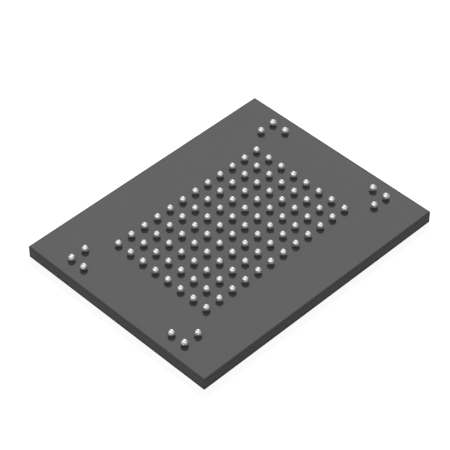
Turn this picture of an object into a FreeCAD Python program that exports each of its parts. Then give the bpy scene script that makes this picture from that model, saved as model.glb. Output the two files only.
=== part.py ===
"""Moulded ball grid array chip, lying on its marking face with the solder balls up. Millimetres.

The origin is the centre of the marking face, +X runs along the body's length and +Z points out of the
ball side. The wire-bonded die hangs inside the mould from the board's inner face.
"""

import FreeCAD, Part

import math
import os

from FreeCAD import Vector

# Solder balls: a full grid, and three more in an L at each corner
ball_pitch = 1.0
ball_standoff = 0.40
grid_rows = 12
grid_columns = 8
grid_shift = 0.10
corner_group_gap = 1.5
row_letters = "abcdefghjklmnprtuvwy"

# Body: a board and a mould cap sawn out together, 18 by 14, with this much past the outermost balls
end_margin = 1.0
side_margin = 2.5
mould_thickness = 0.56
board_thickness = 0.24

# Marking face: a shallow moulded dimple at the first ball's corner
dimple_diameter = 1.0
dimple_depth = 0.03
dimple_inset = 1.3

# Ball side of the board: copper pads lie under the solder mask, which laps over their rims
mask_thickness = 0.025
mask_opening = 0.283
pad_thickness = 0.02
pad_lap = 0.05

# Die and the film that holds it to the board
die_length = 9.0
die_width = 7.0
die_thickness = 0.20
film_thickness = 0.025

# Bond wires: as many as the grid has balls, shared out over the four sides of the die
long_side_wire_count = 28
short_side_wire_count = 20
wire_sides = 4
wire_diameter = 0.03
wire_row_margin = 0.45
wire_bond_inset = 0.12
wire_bond_diameter = 0.07
wire_bond_height = 0.02
wire_loop_height = 0.12
wire_shoulder = 0.05

# Bond fingers: gilt copper strips on the board round the die
finger_gap = 0.35
finger_length = 0.40
finger_width = 0.12
finger_thickness = 0.015

# Plan of the balls and the body, from the centre
grid_half_length = (grid_rows - 1) * ball_pitch / 2
grid_half_width = (grid_columns - 1) * ball_pitch / 2
corner_inner_x = grid_half_length + corner_group_gap
corner_outer_x = corner_inner_x + ball_pitch
corner_outer_y = grid_half_width + ball_pitch
body_length = 2 * (corner_outer_x + end_margin)
body_width = 2 * (corner_outer_y + side_margin)

# Levels, from the marking face up
inner_face = mould_thickness
ball_face = inner_face + board_thickness
pad_face = ball_face - mask_thickness
pad_floor = pad_face - pad_thickness
film_face = inner_face - film_thickness
die_face = film_face - die_thickness
finger_face = inner_face - finger_thickness


def block(length, width, low, high):
    """A box centred on the origin in plan, from level low to level high."""
    return Part.makeBox(length, width, high - low, Vector(-length / 2, -width / 2, low))


def copies(shape, places):
    """One compound of separate copies of a shape, moved to each place."""
    moved = []
    for place in places:
        copy = shape.copy()
        copy.translate(place)
        moved.append(copy)
    return Part.makeCompound(moved)


def ball_rows():
    """Ball places in plan, {row letter: [places]}, each row counted from the first ball's side."""
    columns = [grid_half_width - n * ball_pitch for n in range(grid_columns)]
    outer_columns = [corner_outer_y, grid_half_width, -grid_half_width, -corner_outer_y]
    inner_columns = [corner_outer_y, -corner_outer_y]

    rows = [(-corner_outer_x, outer_columns), (-corner_inner_x, inner_columns)]
    for n in range(grid_rows):
        rows.append((grid_shift - grid_half_length + n * ball_pitch, columns))
    rows += [(corner_inner_x, inner_columns), (corner_outer_x, outer_columns)]
    return {
        letter: [Vector(x, y, 0) for y in ys] for letter, (x, ys) in zip(row_letters, rows)
    }


def solder_ball():
    """A reflowed ball: a short neck in the mask opening, then a sphere cut off where the neck starts."""
    neck = mask_opening / 2
    radius = (ball_standoff**2 + neck**2) / (2 * ball_standoff)
    centre = ball_face + ball_standoff - radius
    foot = Vector(0, 0, pad_face)
    foot_rim = Vector(neck, 0, pad_face)
    neck_rim = Vector(neck, 0, ball_face)
    equator = Vector(radius, 0, centre)
    crown = Vector(0, 0, ball_face + ball_standoff)
    profile = Part.Wire(
        [
            Part.LineSegment(foot, foot_rim).toShape(),
            Part.LineSegment(foot_rim, neck_rim).toShape(),
            Part.Arc(neck_rim, equator, crown).toShape(),
            Part.LineSegment(crown, foot).toShape(),
        ]
    )
    return Part.Face(profile).revolve(Vector(), Vector(0, 0, 1), 360)


def ball_pad():
    """A copper pad, wider than the mask opening by the lap all round."""
    radius = mask_opening / 2 + pad_lap
    return Part.makeCylinder(radius, pad_thickness, Vector(0, 0, pad_floor))


def board(places):
    """The laminate board, with a pocket for each pad and a narrower mask opening above it."""
    opening = Part.makeCylinder(mask_opening / 2, mask_thickness, Vector(0, 0, pad_face))
    pocket = ball_pad().fuse(opening)
    return block(body_length, body_width, inner_face, ball_face).cut(copies(pocket, places))


def wire_section(width, centre):
    """A level ring with the few sides that a thin wire is drawn with, as wide as given."""
    corner_radius = width / 2 / math.cos(math.pi / wire_sides)
    ring = Part.makeCircle(corner_radius, centre).discretize(wire_sides + 1)
    return Part.makePolygon(ring)


def bond_wire():
    """One wire off the die's edge along +X, with that edge at X = 0.

    It hangs as it does in the chip: from its ball bond it drops clear of the die, turns over a
    shoulder and runs back up to the finger, which cuts its end flat.
    """
    bond = Vector(-wire_bond_inset, 0, die_face)
    loop = die_face - wire_loop_height
    drop_end = Vector(bond.x, 0, loop + wire_shoulder)
    shoulder_end = Vector(bond.x + wire_shoulder, 0, loop)
    landing = Vector(finger_gap + finger_length / 2, 0, finger_face)
    overrun = (landing - shoulder_end).normalize() * finger_length / 2

    path = Part.makePolygon([bond, drop_end, shoulder_end, landing + overrun])
    mitred_corners = 1
    wire = path.makePipeShell([wire_section(wire_diameter, bond)], True, False, mitred_corners)
    ball = Part.Face(wire_section(wire_bond_diameter, bond)).extrude(Vector(0, 0, -wire_bond_height))
    past_finger = Part.makeBox(
        finger_length, finger_width, finger_length, Vector(finger_gap, -finger_width / 2, finger_face)
    )
    return wire.cut(past_finger).fuse(ball).removeSplitter()


def bond_finger():
    """One finger on the board's inner face, for a wire that leaves the die's edge along +X."""
    corner = Vector(finger_gap, -finger_width / 2, finger_face)
    return Part.makeBox(finger_length, finger_width, finger_thickness, corner)


def round_the_die(shape):
    """Copies of a shape along the four sides of the die, each facing away from it."""
    sides = [
        (die_length, die_width, short_side_wire_count, 0),
        (die_width, die_length, long_side_wire_count, 90),
        (die_length, die_width, short_side_wire_count, 180),
        (die_width, die_length, long_side_wire_count, 270),
    ]
    placed = []
    for across, side, count, angle in sides:
        step = (side - 2 * wire_row_margin) / (count - 1)
        places = [Vector(across / 2, (n - (count - 1) / 2) * step, 0) for n in range(count)]
        row = copies(shape, places)
        row.rotate(Vector(), Vector(0, 0, 1), angle)
        placed += row.Solids
    return Part.makeCompound(placed)


def mould(inside):
    """The moulded cap, cast round everything on the board's inner face, with its corner dimple."""
    centre = Vector(dimple_inset - body_length / 2, body_width / 2 - dimple_inset, 0)
    dimple = Part.makeCylinder(dimple_diameter / 2, dimple_depth, centre)
    return block(body_length, body_width, 0, inner_face).cut([dimple] + inside)


def build():
    """Every piece of the chip by its name."""
    rows = ball_rows()
    places = [place for row in rows.values() for place in row]
    die = block(die_length, die_width, die_face, film_face)
    film = block(die_length, die_width, film_face, inner_face)
    wires = round_the_die(bond_wire())
    fingers = round_the_die(bond_finger())

    pieces = {
        "mould_cap": mould([die, film, fingers, wires]),
        "substrate": board(places),
        "ball_pads": copies(ball_pad(), places),
        "silicon_die": die,
        "die_attach_film": film,
        "bond_wires": wires,
        "bond_fingers": fingers,
    }
    for letter, row in rows.items():
        pieces["solder_balls_row_" + letter] = copies(solder_ball(), row)
    return pieces


os.makedirs("parts", exist_ok=True)
for name, shape in build().items():
    shape.exportStep("parts/" + name + ".step")
    print(name, len(shape.Solids), "solids", round(shape.Volume, 4), "mm3")
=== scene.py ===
import math

import bmesh
import bpy
from mathutils import Matrix, Vector


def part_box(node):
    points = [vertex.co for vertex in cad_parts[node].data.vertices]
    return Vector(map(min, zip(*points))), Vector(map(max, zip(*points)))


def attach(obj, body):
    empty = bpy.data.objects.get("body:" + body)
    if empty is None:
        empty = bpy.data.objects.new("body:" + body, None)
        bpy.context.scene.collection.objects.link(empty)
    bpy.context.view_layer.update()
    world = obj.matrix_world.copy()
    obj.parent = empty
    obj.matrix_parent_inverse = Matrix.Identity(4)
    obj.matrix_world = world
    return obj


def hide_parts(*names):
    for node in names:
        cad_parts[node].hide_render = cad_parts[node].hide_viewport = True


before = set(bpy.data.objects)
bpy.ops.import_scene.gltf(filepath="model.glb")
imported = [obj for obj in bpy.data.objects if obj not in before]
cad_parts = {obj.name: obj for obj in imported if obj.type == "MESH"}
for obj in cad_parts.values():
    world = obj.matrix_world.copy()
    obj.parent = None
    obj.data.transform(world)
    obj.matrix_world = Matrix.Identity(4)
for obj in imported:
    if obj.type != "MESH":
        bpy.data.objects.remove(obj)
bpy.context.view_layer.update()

MM = 0.001

# Board
# The thin laminate that carries the balls: glass cloth and resin under a matt grey film of solder mask,
# which is open over each copper pad. It was sawn out with the mould cap, so their sides are flush.


class Value:
    """A socket that gives a number, and adds a Math node for each sum it takes part in."""

    def __init__(self, finish, socket):
        self.finish = finish
        self.socket = socket

    def math(self, operation, *operands):
        return self.finish.node("Math", {"operation": operation}, dict(enumerate(operands)))

    def __add__(self, other):
        return self.math("ADD", self, other)

    def __radd__(self, other):
        return self.math("ADD", other, self)

    def __sub__(self, other):
        return self.math("SUBTRACT", self, other)

    def __rsub__(self, other):
        return self.math("SUBTRACT", other, self)

    def __mul__(self, other):
        return self.math("MULTIPLY", self, other)

    def __rmul__(self, other):
        return self.math("MULTIPLY", other, self)

    def __pow__(self, other):
        return self.math("POWER", self, other)

    def __gt__(self, other):
        return self.math("GREATER_THAN", self, other)

    def __lt__(self, other):
        return self.math("LESS_THAN", self, other)

    def __abs__(self):
        return self.math("ABSOLUTE", self)

    def clamped(self):
        return self.finish.node("Clamp", {}, {0: self})


class Finish:
    """The nodes of one material, or of the room, each made by one call."""

    def __init__(self, owner):
        self.owner = owner
        owner.use_nodes = True
        self.tree = owner.node_tree

    def node(self, kind, settings, sockets, output=0):
        """Adds a node, sets it up, then gives its sockets their values or links."""
        node = self.tree.nodes.new("ShaderNode" + kind)
        for name, setting in settings.items():
            setattr(node, name, setting)
        for key, value in sockets.items():
            self.feed(node.inputs[key], value)
        return Value(self, node.outputs[output])

    def feed(self, socket, value):
        """Links a Value to a socket, or sets the socket to a constant."""
        if isinstance(value, Value):
            self.tree.links.new(value.socket, socket)
        else:
            socket.default_value = value

    def mix(self, factor, first, second):
        """A colour between two, by a factor from 0 to 1. The node takes colours at 6 and 7."""
        colours = {"Factor": factor, 6: first, 7: second}
        return self.node("Mix", {"data_type": "RGBA"}, colours, output=2)

    def where(self, stretch=(1, 1, 1)):
        """Places on the piece in millimetres, times a stretch along each axis."""
        place = self.node("TexCoord", {}, {}, output="Object")
        return self.node("Mapping", {}, {"Vector": place, "Scale": [s / MM for s in stretch]})

    def axes(self):
        """Places on the piece in millimetres, as three numbers."""
        split = self.node("SeparateXYZ", {}, {0: self.where()})
        return [Value(self, output) for output in split.socket.node.outputs]

    def noise(self, grains, detail=3.0, stretch=(1, 1, 1)):
        """Noise from 0 to 1, with so many grains to the millimetre."""
        sockets = {"Vector": self.where(stretch), "Scale": grains, "Detail": detail}
        return self.node("TexNoise", {}, sockets)

    def bump(self, height, depth, strength):
        """Normals for a height from 0 to 1 over a depth in millimetres."""
        sockets = {"Height": height, "Distance": depth * MM, "Strength": strength}
        return self.node("Bump", {}, sockets)

    def surface(self, **sockets):
        """Feeds the Principled shader, whose sockets are named with underscores."""
        shader = self.tree.nodes["Principled BSDF"]
        for name, value in sockets.items():
            self.feed(shader.inputs[name.replace("_", " ")], value)


def new_finish(name):
    return Finish(bpy.data.materials.new(name))


def grey(level):
    return (level, level, level, 1.0)


def box_ring(bm, low, high, level):
    """A closed ring of four edges in plan, round a box."""
    corners = [(low.x, low.y), (high.x, low.y), (high.x, high.y), (low.x, high.y)]
    verts = [bm.verts.new((x, y, level)) for x, y in corners]
    return [bm.edges.new(ends) for ends in zip(verts, verts[1:] + verts[:1])]


def round_ring(bm, centre, radius, level, segments):
    """A closed ring of edges in plan, round a centre."""
    middle = Matrix.Translation((centre[0], centre[1], level))
    verts = bmesh.ops.create_circle(bm, segments=segments, radius=radius, matrix=middle)["verts"]
    return list(dict.fromkeys(edge for vert in verts for edge in vert.link_edges))


def drawn_out(bm, edges, step):
    """Extrudes a ring of edges by a step up or down, and gives the ring at its far end."""
    made = bmesh.ops.extrude_edge_only(bm, edges=edges)["geom"]
    verts = [part for part in made if isinstance(part, bmesh.types.BMVert)]
    bmesh.ops.translate(bm, verts=verts, vec=(0, 0, step))
    return [e for e in made if isinstance(e, bmesh.types.BMEdge) and all(v in verts for v in e.verts)]


def widened(bm, edges, centre, factor):
    """Extrudes a ring of edges outwards in its own plane, and gives the wider ring."""
    wide = drawn_out(bm, edges, 0)
    verts = list(dict.fromkeys(vert for edge in wide for vert in edge.verts))
    centred = Matrix.Translation((-centre[0], -centre[1], 0))
    bmesh.ops.scale(bm, verts=verts, vec=(factor, factor, 1), space=centred)
    return wide


round_steps = 3


def soften(bm, edges, width):
    """Rounds edges off in a few steps."""
    bmesh.ops.bevel(
        bm, geom=edges, offset=width, offset_type="OFFSET", affect="EDGES", segments=round_steps,
        profile=0.5, material=-1, clamp_overlap=True,
    )


def placed(name, data):
    """A new object in the scene."""
    made = bpy.data.objects.new(name, data)
    bpy.context.scene.collection.objects.link(made)
    return made


def finished(name, bm, finish):
    """A finished mesh as an object in the scene, with its material."""
    mesh = bpy.data.meshes.new(name)
    bm.to_mesh(mesh)
    bm.free()
    mesh.materials.append(finish.owner)
    return placed(name, mesh)


square_on = 0.9999
sharp_angle = math.radians(35)


def piece(name, bm, finish, node):
    """A piece of the chip, which rides on its body and stands for a node.

    Faces that are square to an axis are the chip's flat ones, and are shaded flat up to their edges.
    """
    bmesh.ops.recalc_face_normals(bm, faces=bm.faces)
    made = finished(name, bm, finish)
    made.data.set_sharp_from_angle(angle=sharp_angle)
    for face in made.data.polygons:
        face.use_smooth = max(abs(part) for part in face.normal) < square_on
    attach(made, "root")
    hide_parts(node)


ball_pitch = 1.0 * MM
grid_row_balls = 8
end_row_balls = {"a": 4, "b": 2, "r": 2, "t": 4}
rows = sorted(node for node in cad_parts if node.startswith("solder_balls_row_"))


def ball_places(node):
    """The centres in plan of a row's balls, counted in from its two ends."""
    low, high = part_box(node)
    radius = (high.x - low.x) / 2
    count = end_row_balls.get(node[-1], grid_row_balls)
    from_end = [radius + n * ball_pitch for n in range(count // 2)]
    x = low.x + radius
    return [(x, high.y - inset) for inset in from_end] + [(x, low.y + inset) for inset in from_end]


board_low, board_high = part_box("substrate")
pad_low, pad_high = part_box("ball_pads")
opening_radius = 0.1415 * MM
pad_radius = 0.1915 * MM
opening_segments = 24
board_edge_round = 0.005 * MM
places = [place for node in rows for place in ball_places(node)]

bm = bmesh.new()
outline = box_ring(bm, board_low, board_high, board_high.z)
openings = [round_ring(bm, place, opening_radius, board_high.z, opening_segments) for place in places]
bmesh.ops.triangle_fill(bm, use_beauty=True, edges=outline + sum(openings, []))
for place, opening in zip(places, openings):
    shelf = drawn_out(bm, opening, pad_high.z - board_high.z)
    pocket = widened(bm, shelf, place, pad_radius / opening_radius)
    bmesh.ops.contextual_create(bm, geom=drawn_out(bm, pocket, pad_low.z - pad_high.z))
bmesh.ops.contextual_create(bm, geom=drawn_out(bm, outline, board_low.z - board_high.z))
soften(bm, outline, board_edge_round)

# Lengths inside a material are in millimetres, and a tone is a share of its surface's lightest grey.
black = grey(0.0)
board_side_grey = grey(0.125)
mask_grey = grey(0.140)
rim_width = 0.06
mask_depth = 0.01
saw_stretch = (1.1, 1.1, 60)

laminate = new_finish("masked_laminate")
x, y, z = laminate.axes()
at_end = abs(x) > board_high.x / MM - rim_width
at_side = abs(y) > board_high.y / MM - rim_width
at_rim = (at_end + at_side).clamped()
on_mask = z > board_high.z / MM - mask_depth
saw_streaks = laminate.noise(1.0, detail=4, stretch=saw_stretch)
grain = laminate.noise(30)
ripple = laminate.noise(5, detail=2)
clouds = laminate.noise(0.35, detail=2)
mask_tone = 0.70 + clouds * 0.04 + grain * 0.10 + ripple * 0.06 - at_rim * 0.40
side_tone = 0.62 + saw_streaks * 0.24 + grain * 0.10
laminate.surface(
    Base_Color=laminate.mix(
        on_mask,
        laminate.mix(side_tone.clamped(), black, board_side_grey),
        laminate.mix(mask_tone.clamped(), black, mask_grey),
    ),
    Roughness=0.66 + grain * 0.08 + clouds * 0.04,
    Specular_IOR_Level=0.25,
    Normal=laminate.bump(grain * 0.4 + ripple * 0.6, depth=0.003, strength=0.6),
)
piece("board", bm, laminate, "substrate")

# Copper pads, die, film, gold wires and their fingers
# They lie in the board's pockets or are sealed in the mould, and keep the shapes they have. The pads
# are etched copper, the die is a diced wafer, the film is cured adhesive and the wires are drawn gold.


def inner_finish(name, dark, light, metallic, roughness, grains):
    """A material with a fine grain between two colours."""
    finish = new_finish(name)
    grain = finish.noise(grains)
    finish.surface(
        Base_Color=finish.mix(grain, dark, light),
        Metallic=metallic,
        Roughness=roughness + grain * 0.1,
        Normal=finish.bump(grain, depth=0.001, strength=0.3),
    )
    return finish.owner


copper = inner_finish(
    "copper", dark=(0.55, 0.24, 0.12, 1), light=(0.80, 0.42, 0.26, 1),
    metallic=1.0, roughness=0.3, grains=40,
)
silicon = inner_finish(
    "silicon", dark=(0.05, 0.05, 0.06, 1), light=(0.09, 0.09, 0.11, 1),
    metallic=0.6, roughness=0.1, grains=2,
)
attach_film = inner_finish(
    "attach_film", dark=(0.35, 0.30, 0.18, 1), light=(0.5, 0.44, 0.28, 1),
    metallic=0.0, roughness=0.6, grains=8,
)
gold = inner_finish(
    "gold", dark=(0.75, 0.50, 0.15, 1), light=(0.95, 0.68, 0.25, 1),
    metallic=1.0, roughness=0.15, grains=60,
)

inner_materials = {
    "ball_pads": copper,
    "silicon_die": silicon,
    "die_attach_film": attach_film,
    "bond_wires": gold,
    "bond_fingers": gold,
}
for node, material in inner_materials.items():
    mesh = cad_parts[node].data
    mesh.materials.clear()
    mesh.materials.append(material)

# Mould cap
# Black silica-filled epoxy, transfer-moulded round the die and wires on the board's inner face and then
# sawn out. Its flat face has the mould's matt grain and the round mark of a pin by the first ball.

mould_low, mould_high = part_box("mould_cap")
die_low, die_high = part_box("silicon_die")
pin_mark_inset = 1.3 * MM
pin_mark_radius = 0.5 * MM
pin_mark_depth = 0.03 * MM
pin_mark_segments = 64
pin_mark_round = 0.02 * MM
mould_edge_round = 0.008 * MM
pin_mark_place = (mould_low.x + pin_mark_inset, mould_high.y - pin_mark_inset)

bm = bmesh.new()
outline = box_ring(bm, mould_low, mould_high, mould_low.z)
pin_mark = round_ring(bm, pin_mark_place, pin_mark_radius, mould_low.z, pin_mark_segments)
bmesh.ops.triangle_fill(bm, use_beauty=True, edges=outline + pin_mark)
bmesh.ops.contextual_create(bm, geom=drawn_out(bm, pin_mark, pin_mark_depth))
inner_outline = drawn_out(bm, outline, mould_high.z - mould_low.z)
die_pocket = box_ring(bm, die_low, die_high, mould_high.z)
bmesh.ops.triangle_fill(bm, use_beauty=True, edges=inner_outline + die_pocket)
bmesh.ops.contextual_create(bm, geom=drawn_out(bm, die_pocket, die_low.z - mould_high.z))
soften(bm, outline, mould_edge_round)
soften(bm, pin_mark, pin_mark_round)

moulding_grey = grey(0.125)
skin_depth = 0.004
contact_shade_height = 0.16

moulding = new_finish("moulding_compound")
x, y, z = moulding.axes()
filler = moulding.noise(45, detail=2)
saw_streaks = moulding.noise(1.0, detail=4, stretch=saw_stretch)
on_side = z > skin_depth
from_mark_x = x - pin_mark_place[0] / MM
from_mark_y = y - pin_mark_place[1] / MM
in_mark = from_mark_x ** 2 + from_mark_y ** 2 < (pin_mark_radius / MM) ** 2
# Painted shade: the sawn sides are painted darker towards the table, standing in for the shadow where
# the chip meets it.
painted_contact_shade = ((contact_shade_height - z) * (1 / contact_shade_height)).clamped() ** 0.5
sawn_and_shaded_tone = 0.56 + filler * 0.18 + saw_streaks * 0.30 - painted_contact_shade * 0.76
skin_tone = 0.30 + filler * 0.14
tone = on_side * sawn_and_shaded_tone + (1 - on_side) * skin_tone
moulding.surface(
    Base_Color=moulding.mix(tone.clamped(), black, moulding_grey),
    Roughness=0.56 + filler * 0.14 - in_mark * 0.25,
    Specular_IOR_Level=0.22,
    Normal=moulding.bump(filler * 0.5 + on_side * saw_streaks * 0.5, depth=0.004, strength=0.5),
)
piece("mould_body", bm, moulding, "mould_cap")

# Solder balls
# Tin-silver-copper balls, melted onto their pads: each is a sphere that has settled on a short neck in
# its mask opening. They stand in lettered rows, and each row is one piece.

ball_segments = 28
ball_rings = 16
weld_distance = 0.001 * MM
dull_solder = grey(0.80)
bright_solder = grey(0.92)

solder = new_finish("solder")
frost = solder.noise(60)
cells = solder.noise(9, detail=2)
solder.surface(
    Base_Color=solder.mix((frost * 0.6 + cells * 0.4).clamped(), dull_solder, bright_solder),
    Metallic=1.0,
    Roughness=0.16 + frost * 0.06 + cells * 0.06,
    Normal=solder.bump(frost * 0.24 + cells * 0.76, depth=0.003, strength=0.5),
)


def add_ball(bm, place, radius, foot, crown):
    """Spins one ball's profile, from the middle of its flat foot up its neck and over to its crown."""
    x, y = place
    centre = crown - radius
    neck_turn = -math.acos(opening_radius / radius)
    turns = [neck_turn + (math.pi / 2 - neck_turn) * n / ball_rings for n in range(ball_rings)]
    line = [(0, foot), (opening_radius, foot)]
    line += [(radius * math.cos(t), centre + radius * math.sin(t)) for t in turns]
    line.append((0, crown))
    verts = [bm.verts.new((x + out, y, level)) for out, level in line]
    edges = [bm.edges.new(ends) for ends in zip(verts, verts[1:])]
    bmesh.ops.spin(
        bm, geom=verts + edges, cent=(x, y, 0), axis=(0, 0, 1), angle=2 * math.pi,
        steps=ball_segments, use_merge=True, use_duplicate=False,
    )


for node in rows:
    low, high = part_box(node)
    bm = bmesh.new()
    for place in ball_places(node):
        add_ball(bm, place, (high.x - low.x) / 2, low.z, high.z)
    bmesh.ops.remove_doubles(bm, verts=bm.verts, dist=weld_distance)
    piece("balls_row_" + node[-1], bm, solder, node)

# Table, lamps and camera
# A white table in a white room, cut out under the chip and clear from below, so that the marking face
# shows. The key and fill lamps leave no glint. Two soft boxes and a dark ring show only as reflections.

target = Vector((-0.0245, 0.4720, 0.80)) * MM
azimuth = math.radians(-44.8)
elevation = math.radians(44.24)
roll = math.radians(-0.08)
camera_distance = 114.43 * MM
focal_length = 162.06
sensor_width = 36.0

back = Vector((
    math.sin(azimuth) * math.cos(elevation),
    -math.cos(azimuth) * math.cos(elevation),
    math.sin(elevation),
))
camera_data = bpy.data.cameras.new("camera")
camera_data.sensor_width = sensor_width
camera_data.lens = focal_length
camera_data.clip_start = 1 * MM
camera_data.clip_end = 10.0
camera = placed("camera", camera_data)
camera.location = target + back * camera_distance
camera.rotation_euler = back.to_track_quat("Z", "Y").to_euler()
camera.rotation_euler.rotate_axis("Z", roll)
bpy.context.scene.camera = camera


def seen_directly(finish):
    """1 for a camera, glossy or transmission ray, which see the white of the room as it is."""
    rays = [finish.node("LightPath", {}, {}, output="Is %s Ray" % kind)
            for kind in ("Camera", "Glossy", "Transmission")]
    return (rays[0] + rays[1] + rays[2]).clamped()


table_half_width = 2.0
table_grey = grey(0.22)
table_white = grey(0.91)

table_top = new_finish("table_top")
from_below = table_top.node("NewGeometry", {}, {}, output="Backfacing")
table_top.surface(
    Alpha=1 - from_below,
    Base_Color=table_grey,
    Roughness=0.9,
    Specular_IOR_Level=0.0,
    Emission_Color=table_top.mix(seen_directly(table_top), black, table_white),
    Emission_Strength=1.0,
)

# The hole's rim lies where the mould's rounded edge lifts off the table.
table_corner = Vector((table_half_width, table_half_width, 0.0))
hole_inset = Vector((mould_edge_round, mould_edge_round, 0.0))
bm = bmesh.new()
table_edge = box_ring(bm, -table_corner, table_corner, 0)
hole = box_ring(bm, mould_low + hole_inset, mould_high - hole_inset, 0)
bmesh.ops.triangle_fill(bm, use_beauty=True, edges=table_edge + hole, normal=(0, 0, 1))
table = finished("table", bm, table_top)

# The white walls turn to the grey ceiling between two heights of a ray: 0 is level, 1 is straight up.
wall_top = 0.10
ceiling_edge = 0.20
wall_white = grey(1.0)
ceiling_grey = grey(0.56)
room_light = grey(0.26)

room = bpy.data.worlds.new("room")
bpy.context.scene.world = room
walls = Finish(room)
background = walls.tree.nodes["Background"]
ray = walls.node("TexCoord", {}, {}, output="Generated")
ray_height = walls.node("SeparateXYZ", {}, {0: ray}, output="Z")
up_the_wall = ((ray_height - wall_top) * (1 / (ceiling_edge - wall_top))).clamped()
seen_room = walls.mix(up_the_wall, wall_white, ceiling_grey)
walls.feed(background.inputs["Color"], walls.mix(seen_directly(walls), room_light, seen_room))

flag_radius = 1.2
flag_height = 0.32
flag_segments = 64
flag_grey = grey(0.10)

flag_cloth = new_finish("flag_cloth")
flag_cloth.surface(Base_Color=flag_grey, Roughness=1.0, Specular_IOR_Level=0.0)
bm = bmesh.new()
drawn_out(bm, round_ring(bm, (0, 0), flag_radius, 0, flag_segments), flag_height)
flag = finished("dark_flag", bm, flag_cloth)
flag.visible_camera = False
flag.visible_diffuse = False
flag.visible_shadow = False


def far_lamp(name, direction, energy, spread):
    """A lamp so far off that its light is even, which lights matt surfaces and leaves no glint."""
    data = bpy.data.lights.new(name, "SUN")
    data.energy = energy
    data.angle = math.radians(spread)
    made = placed(name, data)
    made.rotation_euler = Vector(direction).to_track_quat("Z", "Y").to_euler()
    made.visible_glossy = False


far_lamp("key", direction=(0.51, 0.53, 0.86), energy=3.02, spread=3.5)
far_lamp("fill", direction=(-1.0, -0.15, 0.20), energy=0.25, spread=40)


def soft_box(name, first_end, last_end, width, radiance):
    """A long flat lamp between the points one metre off in two directions, for glossy surfaces only."""
    first, last = Vector(first_end).normalized(), Vector(last_end).normalized()
    middle = (first + last) / 2
    along = (last - first).normalized()
    out = middle.normalized()
    data = bpy.data.lights.new(name, "AREA")
    data.shape = "RECTANGLE"
    data.size = (last - first).length
    data.size_y = width
    data.energy = radiance * math.pi * data.size * width
    made = placed(name, data)
    made.matrix_world = Matrix((along, out.cross(along), out)).transposed().to_4x4()
    made.location = middle
    made.visible_diffuse = False


soft_box(
    "soft_box_far", first_end=(0.27, -0.14, 0.95), last_end=(0.56, 0.83, 0.05),
    width=0.48, radiance=0.70,
)
soft_box(
    "soft_box_near", first_end=(-0.44, 0.82, 0.36), last_end=(-0.17, -0.73, 0.66),
    width=0.40, radiance=0.72,
)

bpy.context.scene.view_settings.view_transform = "Standard"
